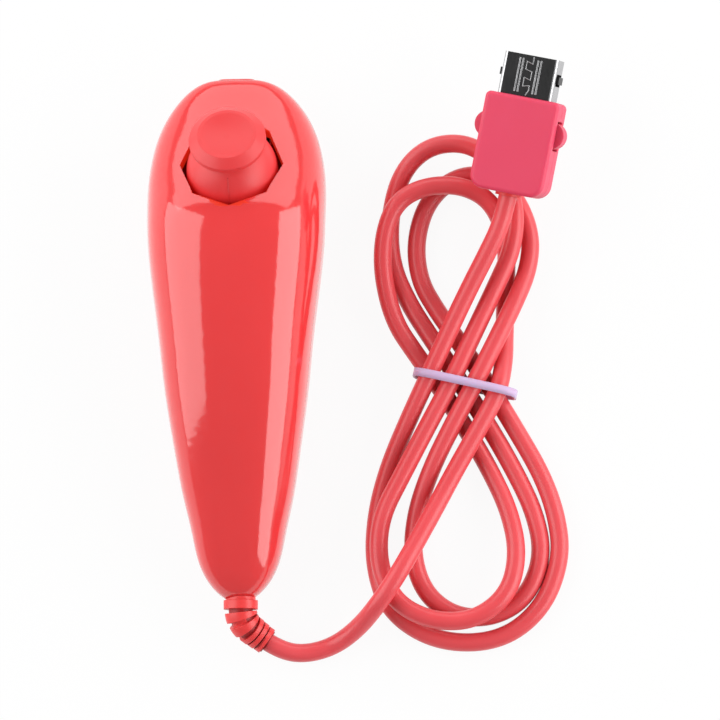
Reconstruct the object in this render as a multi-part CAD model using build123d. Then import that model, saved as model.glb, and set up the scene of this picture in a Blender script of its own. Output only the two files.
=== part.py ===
from build123d import *
import math
import os

os.makedirs("parts", exist_ok=True)

# Handheld motion controller wand with a folded cord and a latching plug.
# Millimetres, +Z up, +Y toward the head, origin under the middle of the body.

# Body sizes
body_length = 113.0
body_width = 38.7
body_height = 31.6
rest_sink = 0.35
wall = 2.0
cut_over = 1.0

# Body stations, from the tail to the head, as shares of half length, half width and height
station_share = [-0.998, -0.977, -0.931, -0.850, -0.743, -0.602, -0.425, -0.212, 0.0, 0.212,
                 0.372, 0.469, 0.566, 0.673, 0.779, 0.876, 0.9605, 0.9930, 1.0020]
width_share = [0.098, 0.202, 0.331, 0.450, 0.522, 0.615, 0.703, 0.796, 0.863, 0.941,
               0.987, 0.997, 1.0, 0.974, 0.904, 0.770, 0.550, 0.370, 0.190]
top_share = [0.304, 0.367, 0.437, 0.503, 0.570, 0.652, 0.756, 0.861, 0.937, 0.987,
             1.0, 0.970, 0.886, 0.794, 0.703, 0.617, 0.552, 0.509, 0.470]
bottom_share = [0.228, 0.165, 0.101, 0.051, 0.008, 0.004, 0.032, 0.051, 0.051, 0.025,
                0.002, -0.002, 0.000, 0.010, 0.041, 0.114, 0.228, 0.335, 0.405]
seam_height_share = 0.54
equator_share = 0.44
top_round_share = 0.80
bottom_round_share = 0.76
least_inset_share = 0.62
half_points = 6
seam_gap = 0.1

# Octagonal stick opening and the stick's own frame
opening_y = 37.0
opening_z = 25.6
opening_radius = 11.15
opening_bevel = 0.7
bevel_depth = 0.8
opening_depth = 10.0
stick_tilt = 26.0
gimbal_drop = 4.0

# Thumb stick
dome_radius = 9.9
dome_wall = 1.2
dome_skirt = -0.2
neck_radius = 5.5
flange_radius = 8.25
flange_z = 11.9
flange_under_z = 10.9
rim_radius = 6.3
cap_top_z = 13.5
dish_radius = 5.65
dish_depth = 0.7
neck_top_z = 9.3
cap_boss_radius = 3.2
cap_boss_end_z = 4.6

# Stick lever and gimbal
lever_radius = 2.0
lever_top_z = 10.6
lever_step_z = 3.2
lever_pin_radius = 1.3
lever_tip_radius = 1.0
lever_tip_step_z = -2.6
lever_end_z = -6.5
fit_gap = 0.03
ring_half_x = 3.9
ring_half_y = 2.7
ring_open_x = 2.6
ring_open_y = 1.8
ring_half_z = 1.1
trunnion_radius = 0.9
trunnion_reach = 7.0
pivot_pin_radius = 0.5
bail_arm_inner = 3.15
bail_arm = 0.75
bail_half_x = 1.7
bail_drop = 5.8
bail_floor = 0.9
bail_slot_half_x = 1.25
bail_slot_half_y = 2.85
bail_top = 1.1

# Joystick housing, potentiometers and centring spring
tower_half = 5.3
tower_top_z = 2.1
cavity_half = 4.3
base_half = 7.5
base_top_z = -4.8
base_floor_z = -11.2
base_bottom_z = -12.3
pot_gap = 0.1
pot_thick = 1.7
pot_half = 2.7
pot_top_z = 2.3
plate_radius = 3.6
plate_thick = 0.5
plate_top_z = -7.3
spring_mean_radius = 2.5
spring_wire = 0.5
spring_curls = 3
spring_gap = 0.05

# Main board and what it carries
board_thick = 1.2
board_half_x = 11.0
board_nose_half_x = 6.5
board_back_y = -17.0
board_shoulder_y = 2.0
board_front_y = 11.5
board_gap = 0.05
post_x = 8.4
post_y = -13.2
post_radius = 2.3
board_screw_radius = 1.0
board_screw_head_radius = 1.9
board_screw_head = 1.1
board_screw_length = 7.0
chip_side = 5.0
chip_thick = 1.1
chip_x = 4.6
chip_y = -6.5
small_part_x = 1.6
small_part_y = 0.8
small_part_thick = 0.7
small_part_pitch = 2.4
small_part_row_y = 5.0
small_part_count = 6
header_x = 4.6
header_centre_x = 3.6
header_y = 3.2
header_thick = 3.0
header_place_y = -14.6

# Shell screws and their bosses
shell_screw_places_share = [-0.595, 0.14]
boss_radius = 3.1
screw_shank_radius = 1.1
screw_hole_gap = 0.15
screw_head_radius = 2.3
screw_head_thick = 1.5
screw_recess_z = 3.4
screw_reach = 4.5

# Front face: its frame, the upper button and the trigger
front_inset = 1.33
front_z = 10.0
front_lean = 25.0
front_proud = 0.15
front_blank = 1.5
button_gap = 0.3
key_width = 8.0
key_height = 3.4
key_centre = 3.4
key_round = 1.6
key_depth = 5.6
key_travel = 1.1
key_tab = 0.9
key_tab_thick = 1.0
key_tab_back = 4.4
trigger_width = 12.4
trigger_height = 7.6
trigger_centre = -3.2
trigger_round = 2.2
trigger_skin = 2.8
trigger_low_gap = 0.75
trigger_pin_up = 0.0
trigger_pin_back = 3.8
trigger_pin_radius = 0.7
trigger_ear = 1.4
trigger_ear_round = 1.3
trigger_arm_share = 0.65
plunger_up = -4.6
plunger_radius = 1.2
plunger_back = 6.2
pin_gap = 0.05

# Button board, its switches and the ribs that hold them
front_board_back = 9.1
front_board_thick = 1.2
front_board_half_x = 8.4
front_board_low = -6.6
front_board_high = 4.0
front_board_gap = 0.08
switch_side = 4.4
switch_thick = 1.3
switch_half_height = 0.9
key_switch_drop = 0.8
switch_dome_radius = 0.75
switch_dome_thick = 0.5
rib_inner_x = 7.2
rib_outer_x = 9.6
rib_back = 12.67
rib_front = 1.0
rib_top_z = 13.2

# Cord and strain relief at the tail
cord_diameter = 4.0
cord_gap = 0.03
tail_exit_x = 0.4
tail_exit_z = 8.1
jacket_end_y = -42.6
sleeve_start_y = -50.2
sleeve_flange_radius = 4.4
sleeve_flange_thick = 1.6
sleeve_neck_radius = 3.2
collar_y = -56.2
collar_radius = 3.7
collar_length = 1.9
boot_end = (6.0, -65.0, 5.0)
boot_heading = (0.80, -0.58, -0.15)
boot_core_radius = 2.6
boot_ring_radius = 3.5
boot_ring_last_radius = 3.0
boot_ring_thick = 1.3
boot_ring_share = [(0, 0.26), (0, 0.70), (1, 0.15), (1, 0.49), (1, 0.82)]
clamp_y = -45.2
clamp_length = 3.6
clamp_thick = 1.6
clamp_screw_room = 1.99
clamp_screw_edge = 1.2
clamp_screw_radius = 0.8
clamp_screw_head_radius = 1.3
clamp_screw_head = 0.8
wire_radius = 0.42
wire_count = 4
wire_pitch = 0.95
wire_side_x = 4.2
wire_lane_pitch = 1.15
wire_start_run = 1.6
wire_bend = 0.9
wire_low_z = 9.5
wire_end_run = 1.4
wire_end_gap = 0.35

# Folded hank: a figure of eight of three turns, tied at its waist
waist_x = 48.6
waist_y = -9.3
waist_lean = -13.0
under_lean = 8.0
waist_low = 3.0
turns = 3

# Upper strands at the waist, first to last: place along the waist and height
over_place = [8.2, -2.3, 2.7, -7.2]
over_height = [7.4, 7.65, 7.5, 7.75]
under_place = [-5.2, -0.1, 5.0]

# Where each strand passes below and above the waist
over_before = [(46.6, -28.3, 6.9), (36.1, -28.1, 6.65), (41.3, -28.2, 6.1), (31.7, -27.8, 2.05)]
over_after = [(57.4, -1.2, 2.05), (52.6, 4.8, 6.85), (58.8, 6.3, 6.65)]
under_before = [(31.8, 9.4, 5.6), (36.2, 9.4, 2.05), (41.8, 9.9, 2.05)]
under_after = [(54.1, -27.9, 2.05), (59.2, -27.9, 2.05), (64.6, -28.0, 2.05)]

# End loops: centre, half width, half length, heights at the right, the end and the left
head_loops = [(44.8, 18.6, 13.2, 15.2, 2.05, 6.85, 6.85),
              (46.3, 22.2, 13.5, 21.2, 6.85, 6.0, 2.05),
              (51.0, 20.0, 13.0, 16.8, 2.05, 2.05, 2.05)]
tail_loops = [(45.0, -45.4, 14.7, 15.4, 5.8, 6.75, 6.75),
              (51.0, -45.4, 13.5, 14.2, 2.05, 2.05, 2.05),
              (49.0, -44.8, 20.4, 20.2, 2.05, 2.05, 2.05)]
hank_start = (40.6, -40.5, 9.2)
hank_start_heading = (0.46, 0.89, 0.0)
hank_end = (50.6, 11.6, 10.6)
hank_end_heading = (0.42, 0.89, 0.17)
gap_samples = 10

# Free stretches of the cord
lead_points = [(14.6, -68.3, 2.9), (20.4, -66.2, 2.4), (26.0, -61.8, 5.4), (31.2, -56.3, 11.5),
               (35.2, -50.3, 11.9)]
tail_points = [(55.1, 20.4, 12.75)]
exit_run = 4.4
join_run = 5.6
neck_run = 4.4
bend_share = 0.45

# Tie band round the waist of the hank
tie_width = 1.8
tie_thick = 0.6
tie_left = -11.4
tie_right = 12.1
tie_bottom = 0.1
tie_top = 10.7
tie_round = 3.0

# Plug: housing, placed across the head loops of the hank
plug_place = (61.2, 40.8, 16.6)
plug_yaw = -12.0
plug_pitch = 9.0
plug_roll = -7.5
plug_width = 16.4
plug_length = 21.0
plug_thick = 9.6
plug_wall = 1.2
plug_corner = 3.0
plug_head_corner = 1.2
plug_edge = 0.9
plug_seam_gap = 0.1
neck_outer_radius = 2.8
neck_reach = 0.6
neck_inside = 3.0
neck_flange_radius = 3.3
neck_flange = 1.2
neck_wall = 0.7
plug_cord_inside = 5.0

# Plug: metal connector
shell_width = 12.0
shell_thick = 6.8
shell_skin = 0.4
shell_reach = 9.0
shell_inside = 4.2
shell_round = 0.8
rib_pair_x = 2.0
rib_pitch = 0.7
rib_width = 0.35
rib_height = 0.2
rib_end = 0.8
core_width = 6.0
core_thick = 4.2
core_reach = 7.4
core_slot = 1.4
core_slot_depth = 6.0
core_flange_thick = 1.4
contact_count = 6
contact_pitch = 0.95
contact_width = 0.5
contact_thick = 0.3
contact_back = 3.0

# Plug: latches
latch_pin_x = 5.65
latch_pin_y = -7.6
latch_pin_radius = 0.6
latch_barrel_radius = 1.2
latch_half_thick = 2.0
latch_arm = 0.8
latch_arm_x = 5.2
latch_inner_x = 4.5
latch_step_y = 4.6
latch_button_y = 3.4
latch_button_radius = 2.9
latch_button_x = 7.0
latch_hook_out = 0.55
latch_hook_length = 1.6
latch_hook_y = 14.4
latch_window_gap = 0.5
latch_seat_share = 0.6
torsion_radius = 1.15
torsion_wire = 0.3
torsion_curls = 3


def unit(v):
    size = math.sqrt(sum(c * c for c in v))
    return tuple(c / size for c in v)


def step(a, b, times=1.0):
    return tuple(p + q * times for p, q in zip(a, b))


def inner(a, b):
    return sum(p * q for p, q in zip(a, b))


def tangent_arcs(p0, t0, p1, t1):
    # two arcs that join two places with the given headings
    across = step(p1, p0, -1.0)
    both = step(t0, t1)
    lean = 2 * (1 - inner(t0, t1))
    along = inner(across, both)
    if abs(lean) < 1e-9:
        leg = inner(across, across) / (4 * inner(across, t1))
    else:
        leg = (-along + math.sqrt(along * along + lean * inner(across, across))) / lean
    q0 = step(p0, t0, leg)
    q1 = step(p1, t1, -leg)
    middle = tuple((a + b) / 2 for a, b in zip(q0, q1))
    return [(p0, q0, middle), (middle, q1, p1)]


def arc_numbers(a, q, b):
    # half angle and radius of the arc from a to b whose tangents meet at q
    share = min(1.0, math.dist(a, b) / 2 / math.dist(a, q))
    half = math.acos(share)
    radius = math.dist(a, b) / 2 / math.sin(half) if half > 1e-4 else math.inf
    return half, radius


def arc_place(a, q, b, share):
    # a place on that arc, from 0 at a to 1 at b
    half, radius = arc_numbers(a, q, b)
    if radius == math.inf:
        return step(a, step(b, a, -1.0), share)
    mid = tuple((c + d) / 2 for c, d in zip(a, b))
    along = unit(step(b, a, -1.0))
    out = unit(step(q, mid, -1.0))
    turn = half * (2 * share - 1)
    sideways = radius * (math.cos(turn) - math.cos(half))
    return step(step(mid, along, radius * math.sin(turn)), out, sideways)


def arc_edge(a, q, b):
    if arc_numbers(a, q, b)[1] == math.inf:
        return Line(a, b)
    return ThreePointArc(a, arc_place(a, q, b, 0.5), b)


def along_path(places):
    # arcs through a list of (place, heading)
    arcs = []
    for (p0, t0), (p1, t1) in zip(places, places[1:]):
        arcs.extend(tangent_arcs(p0, t0, p1, t1))
    return arcs


def tube(edges, radius):
    path = Wire([e for shape in edges for e in shape.edges()])
    start = path @ 0
    ahead = path % 0
    section = Plane(origin=start, z_dir=ahead) * Circle(radius)
    return sweep(section, path=path)


def write(name, shape):
    shape.label = name
    export_step(shape, "parts/" + name + ".step")
    return shape


def turned(profile):
    # solid of revolution about Z from (radius, height) places
    line = Polyline(*[(r, 0, z) for r, z in profile], close=True)
    return revolve(make_face(line), Axis.Z)


def helix_path(radius, pitch, curls, start_z):
    # climbing curls out of quarter turns
    places = []
    for k in range(4 * curls + 1):
        turn = math.pi / 2 * k
        place = (radius * math.cos(turn), radius * math.sin(turn), start_z + pitch * k / 4)
        rise = pitch / (2 * math.pi * radius)
        places.append((place, unit((-math.sin(turn), math.cos(turn), rise))))
    return along_path(places)


# Body form: one loft through sections across the length, grown or inset by an amount
half_length = body_length / 2
front_y = half_length - front_inset


def grown(size, grow):
    return max(size + grow, least_inset_share * size)


def station_numbers(k):
    top = top_share[k] * body_height
    bottom = bottom_share[k] * body_height - rest_sink
    return station_share[k] * half_length, width_share[k] * body_width / 2, top, bottom


def body_form(grow):
    wires = []
    for k in range(len(station_share)):
        y, half, top, bottom = station_numbers(k)
        equator = bottom + equator_share * (top - bottom)
        half = grown(half, grow)
        up = grown(top - equator, grow)
        down = grown(equator - bottom, grow)
        y = y * (half_length + grow) / half_length
        halves = []
        for above in (1, -1):
            round_share = top_round_share if above > 0 else bottom_round_share
            points = []
            for n in range(half_points + 1):
                turn = math.pi * n / half_points
                across = 0 if 2 * n == half_points else math.cos(turn)
                side = math.copysign(abs(across) ** round_share, across)
                rise = math.sin(turn) ** round_share if 0 < n < half_points else 0
                points.append((above * half * side, y, equator + above * rise * (up if above > 0 else down)))
            halves.append(Spline(*points, tangents=[(0, 0, above), (0, 0, -above)],
                                 tangent_scalars=[1, 1]))
        wires.append(Wire([e for half_line in halves for e in half_line.edges()]))
    return Solid.make_loft(wires, False)


outer_form = body_form(0)
inner_form = body_form(-wall)
core_form = body_form(-wall / 2)
proud_form = body_form(front_proud)
liner_form = body_form(-wall - 4 * seam_gap)

# Parting surface: everything under it belongs to the lower shell
def seam_place(k):
    y, half, top, bottom = station_numbers(k)
    return 0, y, bottom + seam_height_share * (top - bottom)


seam_places = [(0, -half_length - cut_over, seam_place(0)[2])]
seam_places.extend(seam_place(k) for k in range(0, len(station_share), 2))
seam_places.append(step(seam_place(-1), (0, cut_over, 0)))
seam_line = Spline(*seam_places)
under_z = -2 * cut_over
seam_outline = Wire([seam_line, Line(seam_places[-1], (0, seam_places[-1][1], under_z)),
                     Line((0, seam_places[-1][1], under_z), (0, seam_places[0][1], under_z)),
                     Line((0, seam_places[0][1], under_z), seam_places[0])])
lower_region = extrude(Face(seam_outline), amount=body_width, dir=(1, 0, 0), both=True)
gap_region = Pos(0, 0, seam_gap) * lower_region

# The parts of the front face and the stick share two leaning frames
front_frame = Plane(origin=(0, front_y, front_z), x_dir=(-1, 0, 0),
                    z_dir=(0, math.cos(math.radians(front_lean)), -math.sin(math.radians(front_lean))))
front = front_frame.location
tilt = math.radians(stick_tilt)
gimbal_y = opening_y - gimbal_drop * math.sin(tilt)
gimbal_z = opening_z - gimbal_drop * math.cos(tilt)
stick = Location((0, gimbal_y, gimbal_z), (-stick_tilt, 0, 0))


def rounded_bar(width, height, radius, low, high):
    return Pos(0, 0, low) * extrude(RectangleRounded(width, height, radius), amount=high - low)


def bar(x0, x1, y0, y1, z0, z1):
    return Pos((x0 + x1) / 2, (y0 + y1) / 2, (z0 + z1) / 2) * Box(x1 - x0, y1 - y0, z1 - z0)


def rod(radius, z0, z1, x=0, y=0):
    return Pos(x, y, (z0 + z1) / 2) * Cylinder(radius, z1 - z0)


def cross_rod(radius, x0, x1):
    return Pos((x0 + x1) / 2, 0, 0) * Rot(0, 90, 0) * Cylinder(radius, x1 - x0)


# Cord route inside the tail: straight in the shell, then bending with the boot
boot_start = (tail_exit_x, collar_y - collar_length, tail_exit_z)
inside_start = (tail_exit_x, jacket_end_y, tail_exit_z)
boot_arcs = tangent_arcs(boot_start, (0, -1, 0), boot_end, unit(boot_heading))
cord_radius = cord_diameter / 2
boot_edges = [arc_edge(*arc) for arc in boot_arcs]
inside_edges = [Line(inside_start, boot_start)] + boot_edges
sleeve_bore = tube(inside_edges, cord_radius + cord_gap)
tail = Location((tail_exit_x, 0, tail_exit_z), (90, 0, 0))

# Shells
hollow = outer_form - inner_form
rest_cut = bar(-body_width, body_width, -body_length, body_length, -body_height, 0)
octagon = RegularPolygon(opening_radius, 8, rotation=0)
opening_cut = stick * Pos(0, 0, gimbal_drop - opening_depth / 2) * extrude(octagon, amount=opening_depth)
bevel_low = Plane((0, 0, gimbal_drop - bevel_depth)) * octagon
bevel_high = Plane((0, 0, gimbal_drop + opening_bevel)) * RegularPolygon(
    opening_radius + 2 * opening_bevel, 8, rotation=0)
bevel_cut = stick * loft([bevel_low, bevel_high])
key_form = rounded_bar(key_width, key_height, key_round, -key_depth, front_blank)
key_cut = front * Pos(0, key_centre, 0) * rounded_bar(
    key_width + 2 * button_gap, key_height + 2 * button_gap, key_round + button_gap,
    -key_depth - key_travel - button_gap, front_blank + cut_over)
trigger_cut_height = trigger_height + button_gap + trigger_low_gap
trigger_cut_centre = trigger_centre + (button_gap - trigger_low_gap) / 2
trigger_cut = front * Pos(0, trigger_cut_centre, 0) * rounded_bar(
    trigger_width + 2 * button_gap, trigger_cut_height, trigger_round + button_gap,
    -key_depth, front_blank + cut_over)
tail_cut = tail * rod(sleeve_neck_radius + fit_gap, -sleeve_start_y - fit_gap, half_length + cut_over)
flange_cut = tail * rod(sleeve_flange_radius + fit_gap, -sleeve_start_y - fit_gap,
                        -sleeve_start_y + sleeve_flange_thick + fit_gap)
collar_cut = tail * rod(collar_radius + fit_gap, -collar_y, half_length + cut_over)
screw_places = [share * half_length for share in shell_screw_places_share]


def seam_height(y):
    for (_, y0, z0), (_, y1, z1) in zip(seam_places, seam_places[1:]):
        if y0 <= y <= y1:
            return z0 + (z1 - z0) * (y - y0) / (y1 - y0)
    return seam_places[-1][2]


tail_block = bar(tail_exit_x - sleeve_flange_radius - wall, tail_exit_x + sleeve_flange_radius + wall,
                 sleeve_start_y - sleeve_flange_thick - wall, sleeve_start_y + sleeve_flange_thick / 2,
                 0, body_height)


def half_width(y):
    # half the body's outer width at y
    outline = [station_numbers(k)[:2] for k in range(len(station_share))]
    for (y0, half0), (y1, half1) in zip(outline, outline[1:]):
        if y0 <= y <= y1:
            return half0 + (half1 - half0) * (y - y0) / (y1 - y0)
    return outline[-1][1]


clamp_side = half_width(clamp_y) - wall - clamp_screw_room
clamp_screw_x = (cord_radius + cord_gap + clamp_side) / 2
clamp_width = 2 * (clamp_screw_x + clamp_screw_edge)
clamp_block = bar(tail_exit_x - clamp_width / 2, tail_exit_x + clamp_width / 2,
                  clamp_y - clamp_length / 2, clamp_y + clamp_length / 2, 0, tail_exit_z)
clamp_groove = tail * rod(cord_radius + cord_gap, -half_length, half_length)
inside_blocks = (tail_block + clamp_block) & core_form
bosses = Part() + [rod(boss_radius, 0, body_height, 0, y) & core_form for y in screw_places]
rib_low = under_z
rib_bars = [bar(min(s * rib_inner_x, s * rib_outer_x), max(s * rib_inner_x, s * rib_outer_x),
                front_y - rib_back, front_y - rib_front, rib_low, rib_top_z) for s in (-1, 1)]
ribs = Part() + [rib & core_form & lower_region for rib in rib_bars] + [rib & liner_form for rib in rib_bars]

# Board slots and the trigger's pin holes in the ribs
board_slot = front * bar(-front_board_half_x - front_board_gap, front_board_half_x + front_board_gap,
                         front_board_low - front_board_gap, 2 * body_height,
                         -front_board_back - front_board_thick - front_board_gap,
                         -front_board_back + front_board_gap)
trigger_axis = front * Pos(0, trigger_pin_up, -trigger_pin_back)
pin_hole = trigger_axis * cross_rod(trigger_pin_radius + fit_gap, -rib_outer_x, rib_outer_x)

lower_shell = (hollow & lower_region) + (inside_blocks & lower_region)
lower_shell = lower_shell + (bosses & lower_region) + ribs
lower_shell = lower_shell - board_slot - pin_hole - rest_cut
upper_part = (hollow - gap_region) + ((tail_block & core_form) - gap_region) + (bosses - gap_region)
posts = Part() + [stick * rod(post_radius, base_bottom_z, opening_depth, s * post_x, post_y) & core_form
                  for s in (-1, 1)]
upper_shell = upper_part + (posts - gap_region)
upper_shell = upper_shell - opening_cut - bevel_cut
for s in (-1, 1):
    upper_shell = upper_shell - stick * rod(board_screw_radius - fit_gap, base_bottom_z - cut_over,
                                            base_bottom_z + board_screw_length, s * post_x, post_y)
screws = []
for y in screw_places:
    seam_z = seam_height(y)
    clear_hole = rod(screw_shank_radius + screw_hole_gap, 0, seam_z + cut_over, 0, y)
    recess = rod(screw_head_radius + screw_hole_gap, -cut_over, screw_recess_z, 0, y)
    lower_shell = lower_shell - clear_hole - recess
    upper_shell = upper_shell - rod(screw_shank_radius + fit_gap, 0, seam_z + screw_reach + wall, 0, y)
    screws.append(rod(screw_head_radius, screw_recess_z - screw_head_thick, screw_recess_z, 0, y)
                  + rod(screw_shank_radius, screw_recess_z, seam_z + screw_reach, 0, y))
tail_cuts = tail_cut + flange_cut + collar_cut + clamp_groove
for s in (-1, 1):
    lower_shell = lower_shell - rod(clamp_screw_radius + fit_gap, tail_exit_z - cord_radius, body_height,
                                    tail_exit_x + s * clamp_screw_x, clamp_y)
lower_shell = lower_shell - tail_cuts - key_cut - trigger_cut
upper_shell = upper_shell - tail_cuts - key_cut - trigger_cut
write("lower_shell", lower_shell)
write("upper_shell", upper_shell)
write("shell_screws", Compound(screws))

# Thumb stick, in the frame of the gimbal
inner_dome = dome_radius - dome_wall
neck_start_z = cap_boss_end_z + dome_wall
dish_round = (dish_radius ** 2 + dish_depth ** 2) / (2 * dish_depth)
cap = turned([(0, neck_start_z), (neck_radius, neck_start_z), (neck_radius, neck_top_z),
              (flange_radius, flange_under_z), (flange_radius, flange_z), (rim_radius, cap_top_z),
              (0, cap_top_z)])
cap = cap - Pos(0, 0, cap_top_z - dish_depth + dish_round) * Sphere(dish_round)
dome = Sphere(dome_radius) - rod(dome_radius + cut_over, -dome_radius - cut_over, dome_skirt)
thumb_stick = (dome - Sphere(inner_dome)) + (cap - Sphere(inner_dome))
thumb_stick = thumb_stick + rod(cap_boss_radius, cap_boss_end_z, neck_top_z)
thumb_stick = thumb_stick - rod(lever_radius + fit_gap, 0, lever_top_z + fit_gap)
write("thumb_stick", stick * thumb_stick)

# Lever: its upper end sits in the cap, its lower end works the slotted bail
lever = rod(lever_radius, lever_step_z, lever_top_z)
lever = lever + rod(lever_pin_radius, lever_tip_step_z, lever_step_z)
lever = lever + rod(lever_tip_radius, lever_end_z, lever_tip_step_z)
pin_along_y = Rot(90, 0, 0) * Cylinder(pivot_pin_radius, 2 * ring_half_y)
pin_bore = Rot(90, 0, 0) * Cylinder(pivot_pin_radius + pin_gap, 2 * ring_half_y + cut_over)
write("stick_lever", stick * (lever - pin_bore))
write("gimbal_pin", stick * pin_along_y)

# Tilting ring with trunnions along X
ring = bar(-ring_half_x, ring_half_x, -ring_half_y, ring_half_y, -ring_half_z, ring_half_z)
ring = ring - bar(-ring_open_x, ring_open_x, -ring_open_y, ring_open_y, -cut_over * 2, cut_over * 2)
ring = ring + cross_rod(trunnion_radius, ring_open_x + fit_gap, trunnion_reach)
ring = ring + cross_rod(trunnion_radius, -tower_half, -ring_open_x - fit_gap)
ring = ring - Rot(90, 0, 0) * Cylinder(pivot_pin_radius + fit_gap / 3, 2 * ring_half_y + cut_over)
write("gimbal_ring", stick * ring)

# Slotted bail with trunnions along Y
arm_outer = bail_arm_inner + bail_arm
bail = bar(-bail_half_x, bail_half_x, -arm_outer, arm_outer, -bail_drop, bail_top)
bail = bail - bar(-bail_half_x - cut_over, bail_half_x + cut_over, -bail_arm_inner, bail_arm_inner,
                  -bail_drop + bail_floor, bail_top + cut_over)
bail = bail - bar(-bail_slot_half_x, bail_slot_half_x, -bail_slot_half_y, bail_slot_half_y,
                  -bail_drop - cut_over, 0)
bail = bail + Rot(0, 0, 90) * cross_rod(trunnion_radius, bail_arm_inner, trunnion_reach)
bail = bail + Rot(0, 0, 90) * cross_rod(trunnion_radius, -tower_half, -bail_arm_inner)
write("slotted_bail", stick * bail)

# Joystick housing, potentiometers, centring plate and spring
trunnion_hole = trunnion_radius + pin_gap
housing = bar(-base_half, base_half, -base_half, base_half, base_bottom_z, base_top_z)
housing = housing + bar(-tower_half, tower_half, -tower_half, tower_half, base_top_z, tower_top_z)
housing = housing - bar(-cavity_half, cavity_half, -cavity_half, cavity_half, base_floor_z,
                        tower_top_z + cut_over)
for turn in (0, 90):
    housing = housing - Rot(0, 0, turn) * cross_rod(trunnion_hole, -tower_half - cut_over,
                                                    tower_half + cut_over)
write("joystick_housing", stick * housing)
pot_inner = tower_half + pot_gap
pot = bar(pot_inner, pot_inner + pot_thick, -pot_half, pot_half, base_top_z + fit_gap, pot_top_z)
pot = pot - cross_rod(trunnion_hole, tower_half, pot_inner + pot_thick + cut_over)
write("tilt_sensor_fore", stick * pot)
write("tilt_sensor_side", stick * Rot(0, 0, 90) * pot)
plate = rod(plate_radius, plate_top_z - plate_thick, plate_top_z)
write("centring_plate", stick * plate)
spring_low = base_floor_z + spring_wire / 2 + spring_gap
spring_room = plate_top_z - plate_thick - spring_wire / 2 - spring_gap - spring_low
spring_arcs = helix_path(spring_mean_radius, spring_room / spring_curls, spring_curls, spring_low)
write("centring_spring", stick * tube([arc_edge(*arc) for arc in spring_arcs], spring_wire / 2))

# Main board under the joystick housing
board_top = base_bottom_z - board_gap
board_bottom = board_top - board_thick
board_outline = Polyline((-board_half_x, board_back_y), (board_half_x, board_back_y),
                         (board_half_x, board_shoulder_y), (board_nose_half_x, board_front_y),
                         (-board_nose_half_x, board_front_y), (-board_half_x, board_shoulder_y), close=True)
board = Pos(0, 0, board_bottom) * extrude(make_face(board_outline), amount=board_thick)
board_screws = []
for s in (-1, 1):
    board = board - rod(board_screw_radius + screw_hole_gap, board_bottom - cut_over,
                        board_top + cut_over, s * post_x, post_y)
    shank = rod(board_screw_radius - 2 * fit_gap, board_bottom,
                base_bottom_z + board_screw_length - cut_over, s * post_x, post_y)
    head = rod(board_screw_head_radius, board_bottom - board_screw_head, board_bottom, s * post_x, post_y)
    board_screws.append(stick * (head + shank))
write("main_board", stick * board)
write("board_screws", Compound(board_screws))


def chip(x, y, side):
    return bar(x - side / 2, x + side / 2, y - side / 2, y + side / 2,
               board_bottom - chip_thick, board_bottom)


write("motion_chip", stick * chip(-chip_x, chip_y, chip_side))
write("controller_chip", stick * chip(chip_x, chip_y, chip_side))
small_parts = []
for k in range(small_part_count):
    x = (k - (small_part_count - 1) / 2) * small_part_pitch
    small_parts.append(stick * bar(x - small_part_x / 2, x + small_part_x / 2,
                                   small_part_row_y - small_part_y / 2, small_part_row_y + small_part_y / 2,
                                   board_bottom - small_part_thick, board_bottom))
write("board_capacitors", Compound(small_parts))
header = bar(header_centre_x - header_x / 2, header_centre_x + header_x / 2,
             header_place_y - header_y / 2, header_place_y + header_y / 2,
             board_top, board_top + header_thick)
write("cable_header", stick * header)

# Upper button of the front face
key = (front * Pos(0, key_centre, 0) * key_form) & proud_form
tab_width = key_width + 2 * key_tab
key_tabs = front * Pos(0, key_centre, 0) * rounded_bar(tab_width, key_height - 2 * button_gap, key_tab,
                                                       -key_tab_back - key_tab_thick, -key_tab_back)
write("front_button", key + (key_tabs & liner_form))

# Trigger, hinged on a pin behind its upper edge
trigger_form = front * Pos(0, trigger_centre, 0) * rounded_bar(
    trigger_width, trigger_height, trigger_round, -key_depth, front_blank)
trigger_room = body_form(-trigger_skin + front_proud)
trigger = (trigger_form & proud_form) - trigger_room
ear_x = trigger_width / 2 - trigger_ear
for s in (-1, 1):
    ear = trigger_axis * cross_rod(trigger_ear_round, min(s * ear_x, s * (ear_x + trigger_ear)),
                                   max(s * ear_x, s * (ear_x + trigger_ear)))
    arm_low = trigger_centre / 2
    arm_high = trigger_centre + trigger_height / 2 - trigger_arm_share * trigger_round
    arm = front * bar(min(s * ear_x, s * (ear_x + trigger_ear)), max(s * ear_x, s * (ear_x + trigger_ear)),
                      arm_low - trigger_ear_round, arm_high,
                      -trigger_pin_back, 0)
    trigger = trigger + ear + (arm & core_form)
plunger = front * Pos(0, plunger_up, 0) * rod(plunger_radius, -plunger_back, -trigger_skin)
trigger = trigger + plunger
trigger = trigger - trigger_axis * cross_rod(trigger_pin_radius + pin_gap, -rib_outer_x, rib_outer_x)
write("trigger", trigger)
write("trigger_pin", trigger_axis * cross_rod(trigger_pin_radius, -rib_outer_x + wall / 2,
                                              rib_outer_x - wall / 2))

# Button board with two switches
front_board = bar(-front_board_half_x, front_board_half_x, front_board_low, front_board_high,
                  -front_board_back - front_board_thick, -front_board_back)
write("button_board", (front * front_board) & liner_form)
switches = []
domes = []
for up in (key_centre - key_switch_drop, plunger_up):
    low = -front_board_back
    place = front * Pos(0, up, 0)
    case = bar(-switch_side / 2, switch_side / 2, -switch_half_height, switch_half_height,
               low, low + switch_thick)
    switches.append(place * case)
    domes.append(place * rod(switch_dome_radius, low + switch_thick,
                             low + switch_thick + switch_dome_thick))
write("button_switches", Compound(switches))
write("switch_plungers", Compound(domes))

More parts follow.
